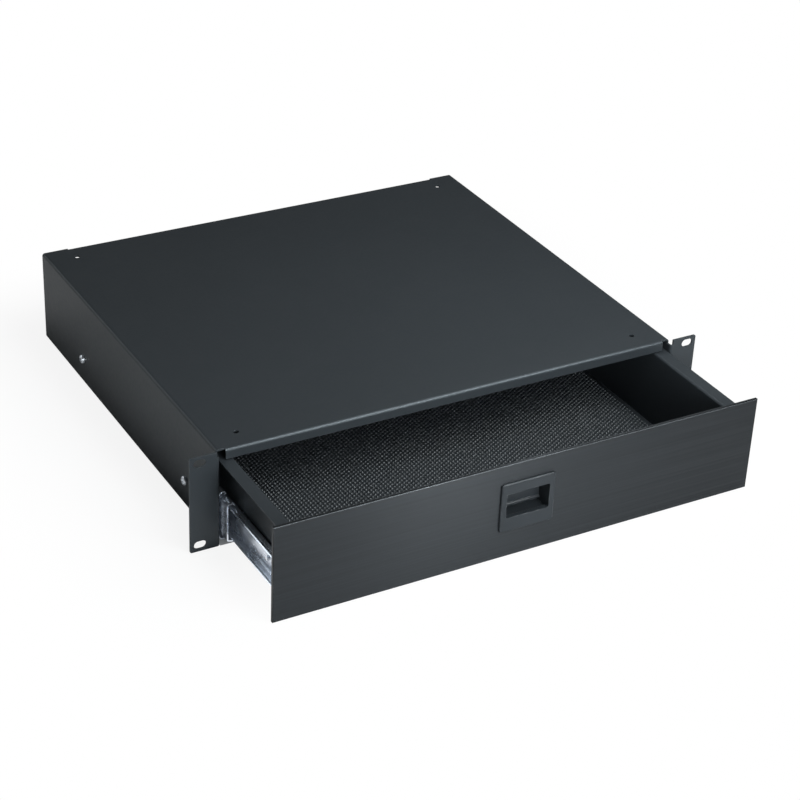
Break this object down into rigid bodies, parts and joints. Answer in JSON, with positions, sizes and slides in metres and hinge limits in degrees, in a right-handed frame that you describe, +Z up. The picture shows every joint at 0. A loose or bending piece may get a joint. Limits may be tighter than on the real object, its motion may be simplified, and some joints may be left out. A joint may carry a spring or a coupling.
{
  "type": "sliding rack drawer",
  "caption": "Two-unit sliding rack drawer in black steel, with ball slides, a brushed aluminium face, a recessed paddle latch and a rubber floor mat.",
  "frame": {"origin": "middle of the four rack slots, on the front plane of the ears", "axes": "+Z up, -Y the way the drawer opens, +X to the right of someone who looks at its face from behind the rack's front, along +Y"},
  "size_m": [0.4826, 0.4985, 0.0882],
  "materials": {
    "black_powder_coat": "fine textured black powder coat",
    "drawer_powder_coat": "fine textured black powder coat",
    "black_brushed_face": "horizontally brushed, black anodised",
    "zinc_rail": "bright zinc plate",
    "cage_steel": "stamped zinc-plated strip",
    "ball_steel": "polished",
    "zinc_fasteners": "zinc plate",
    "bumper_rubber": "matte",
    "mat_rubber": "matte with raised dots",
    "latch_plastic": "fine moulded texture",
    "paddle_plastic": "satin moulded",
    "bolt_metal": "zinc plate",
    "spring_steel": "bright wire"
  },
  "bodies": {
    "chassis": {"chassis_shell": "black_powder_coat", "rear_brace": "black_powder_coat", "chassis_slide_screws": "zinc_fasteners", "left_outer_rail": "zinc_rail", "right_outer_rail": "zinc_rail", "left_rear_bumper": "bumper_rubber", "right_rear_bumper": "bumper_rubber"},
    "left_intermediate": {"left_intermediate_rail": "zinc_rail"},
    "right_intermediate": {"right_intermediate_rail": "zinc_rail"},
    "left_outer_bearing": {"left_outer_ball_cage": "cage_steel", "left_outer_balls": "ball_steel"},
    "right_outer_bearing": {"right_outer_ball_cage": "cage_steel", "right_outer_balls": "ball_steel"},
    "left_inner_bearing": {"left_inner_ball_cage": "cage_steel", "left_inner_balls": "ball_steel"},
    "right_inner_bearing": {"right_inner_ball_cage": "cage_steel", "right_inner_balls": "ball_steel"},
    "drawer": {"drawer_box": "drawer_powder_coat", "drawer_mat": "mat_rubber", "face_panel": "black_brushed_face", "face_studs": "zinc_fasteners", "face_nuts": "zinc_fasteners", "left_drawer_rail": "zinc_rail", "right_drawer_rail": "zinc_rail", "drawer_slide_screws": "zinc_fasteners", "latch_housing": "latch_plastic", "paddle_pin": "zinc_fasteners", "bolt_spring": "spring_steel"},
    "paddle": {"latch_paddle": "paddle_plastic"},
    "bolt": {"latch_bolt": "bolt_metal"}
  },
  "joints": [
    {"name": "intermediate_slide", "type": "slide", "parent": "chassis", "child": "left_intermediate", "axis": [0, -1, 0], "range_m": [-0.013, 0.162]},
    {"name": "drawer_slide", "type": "slide", "parent": "left_intermediate", "child": "drawer", "axis": [0, -1, 0], "range_m": [-0.096, 0.079]},
    {"name": "right_intermediate_slide", "type": "slide", "parent": "chassis", "child": "right_intermediate", "axis": [0, -1, 0], "range_m": [-0.013, 0.162]},
    {"name": "left_outer_bearing_slide", "type": "slide", "parent": "chassis", "child": "left_outer_bearing", "axis": [0, -1, 0], "range_m": [-0.0065, 0.081]},
    {"name": "right_outer_bearing_slide", "type": "slide", "parent": "chassis", "child": "right_outer_bearing", "axis": [0, -1, 0], "range_m": [-0.0065, 0.081]},
    {"name": "left_inner_bearing_slide", "type": "slide", "parent": "left_intermediate", "child": "left_inner_bearing", "axis": [0, -1, 0], "range_m": [-0.048, 0.0395]},
    {"name": "right_inner_bearing_slide", "type": "slide", "parent": "right_intermediate", "child": "right_inner_bearing", "axis": [0, -1, 0], "range_m": [-0.048, 0.0395]},
    {"name": "paddle_hinge", "type": "hinge", "parent": "drawer", "child": "paddle", "pos_m": [0, -0.1005, 0.01745], "axis": [-1, 0, 0], "range_deg": [0, 30]},
    {"name": "bolt_slide", "type": "slide", "parent": "drawer", "child": "bolt", "axis": [0, 0, -1], "range_m": [0, 0.00393], "stiffness_N_per_m": 300, "springref_m": -0.004, "deforming": ["bolt_spring"]}
  ],
  "couplings": [
    {"joint": "right_intermediate_slide", "follows": "intermediate_slide", "ratio": 1},
    {"joint": "left_outer_bearing_slide", "follows": "intermediate_slide", "ratio": 0.5},
    {"joint": "right_outer_bearing_slide", "follows": "intermediate_slide", "ratio": 0.5},
    {"joint": "left_inner_bearing_slide", "follows": "drawer_slide", "ratio": 0.5},
    {"joint": "right_inner_bearing_slide", "follows": "drawer_slide", "ratio": 0.5},
    {"joint": "paddle_hinge", "follows": "bolt_slide", "rad_per_m": 133.33}
  ]
}
